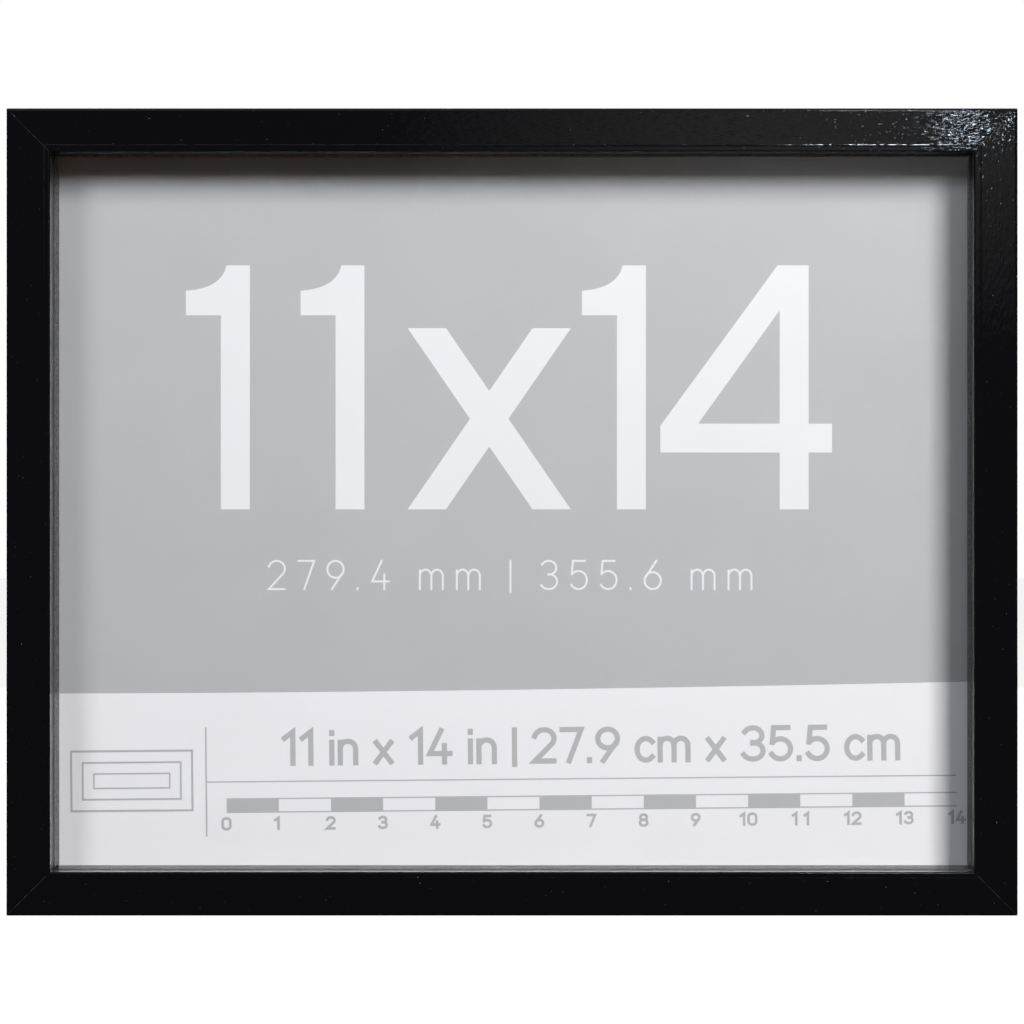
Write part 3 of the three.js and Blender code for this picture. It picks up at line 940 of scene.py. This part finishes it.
CARD_GAP = 4 * MM  # between cards that lie one behind another, so that each one counts
HAZE = 0.38  # radiance at the middle of the haze, in W/sr/m2
HAZE_RINGS = 7
HAZE_AT = (0.195, -1.53, 0.41)
HAZE_LEAST = (0.12, 0.06)  # width and height, from which the rings grow by HAZE_GROWTH
HAZE_GROWTH = (0.50, 0.26)
WARM = 0.21  # radiance of the warm card at the left
WARM_LEFT = -0.37
WARM_ENDS = (-0.02, 0.10, 0.22)  # where it ends at the right, in three steps
WARM_AT = (-1.47, 0.3775)  # y and z of its middle
WARM_HEIGHT = 0.018
SHEEN = 0.35  # radiance of the cards round the room
SHEEN_SIZE = (3.0, 1.0)
SHEEN_AWAY = 2.4
SHEEN_HEIGHT = 1.5
BACK_SHEEN = 9 * SHEEN  # and of the one behind, which the metal on the back mirrors
BACK_SHEEN_SIZE = (2.4, 0.7)
BACK_SHEEN_AT = (0, 1.9, 0.36)


def make_haze():
    """A dim haze that the top right of the front mirrors. Its rings lie one behind another, and
    add up towards its middle."""
    for number in range(HAZE_RINGS):
        share = (number + 0.5) / HAZE_RINGS
        width = HAZE_LEAST[0] + share * HAZE_GROWTH[0]
        height = HAZE_LEAST[1] + share * HAZE_GROWTH[1]
        watts = watts_for(HAZE / HAZE_RINGS, width, height) * math.pi / 4
        place = (HAZE_AT[0], HAZE_AT[1] - number * CARD_GAP, HAZE_AT[2])
        ring = softbox(f"haze_{number}", place, width, height, watts, (1.0, 0.96, 0.95))
        ring.data.shape = "ELLIPSE"
        ring.visible_diffuse = False


def make_warm_card():
    """A dim, warm card that the top of the pane mirrors at the left, and nothing else does. It
    fades out to the right in steps."""
    pane_only = bpy.data.collections.new("pane_only")
    pane_only.objects.link(bpy.data.objects["glass_pane_finished"])
    for number, right in enumerate(WARM_ENDS):
        width = right - WARM_LEFT
        place = (WARM_LEFT + width / 2, WARM_AT[0] - number * CARD_GAP, WARM_AT[1])
        watts = watts_for(WARM / len(WARM_ENDS), width, WARM_HEIGHT)
        card = softbox(f"warm_{number}", place, width, WARM_HEIGHT, watts, (1.0, 0.48, 0.06))
        card.visible_diffuse = False
        card.visible_transmission = False
        card.light_linking.receiver_collection = pane_only


def make_sheen():
    """Dim cards above and all round, above the height that the front mirrors, and a brighter one
    behind. Only gloss sees them."""
    width, height = SHEEN_SIZE
    watts = watts_for(SHEEN, width, width)
    cards = [softbox("ceiling", (0, 0, SHEEN_AWAY), width, width, watts)]
    cards[0].rotation_euler = (0, 0, 0)
    watts = watts_for(SHEEN, width, height)
    for turn in (0, 90, 180, 270):
        angle = math.radians(turn)
        place = SHEEN_AWAY * Vector((math.sin(angle), -math.cos(angle), 0))
        place.z = SHEEN_HEIGHT
        cards.append(softbox(f"sheen_{turn}", place, width, height, watts, turn=turn))
    width, height = BACK_SHEEN_SIZE
    watts = watts_for(BACK_SHEEN, width, height)
    cards.append(softbox("back_sheen", BACK_SHEEN_AT, width, height, watts, turn=180))
    for card in cards:
        card.visible_diffuse = False
        card.visible_transmission = False


def make_lights():
    """A key from the upper right and a weaker fill from the upper left, which gloss doesn't
    mirror. A small window and a thin strip that the top rail's right end mirrors. A panel that
    lights the back. Then the cards that only gloss sees."""
    softbox("key", (0.82, -1.92, 1.043), 0.54, 0.72, 63.5, (1.0, 0.982, 0.975), mirrored=False)
    softbox("fill", (-0.70, -1.52, 0.765), 0.40, 0.33, 11, (0.95, 0.96, 1.0), mirrored=False)
    softbox("window", (0.289, -1.5, 0.424), 0.012, 0.015, 0.056, (0.72, 0.86, 1.0))
    softbox("strip", (0.244, -1.5, 0.815), 0.110, 0.050, 1.20, (0.86, 0.93, 1.0))
    make_haze()
    make_warm_card()
    softbox("back_light", (-0.6, 1.6, 0.9), 1.2, 0.9, 42, turn=180, mirrored=False)
    make_sheen()


make_camera()
mitre_filling = mitre_glue()
make_rails(mitre_filling)
make_glue(mitre_filling)
make_liner()
eased("glass_pane", 0.25 * MM, [pane()], segments=2)
make_print()
make_back()
make_hardware()
make_stage()
make_world()
make_lights()
bpy.context.scene.view_settings.view_transform = "Standard"
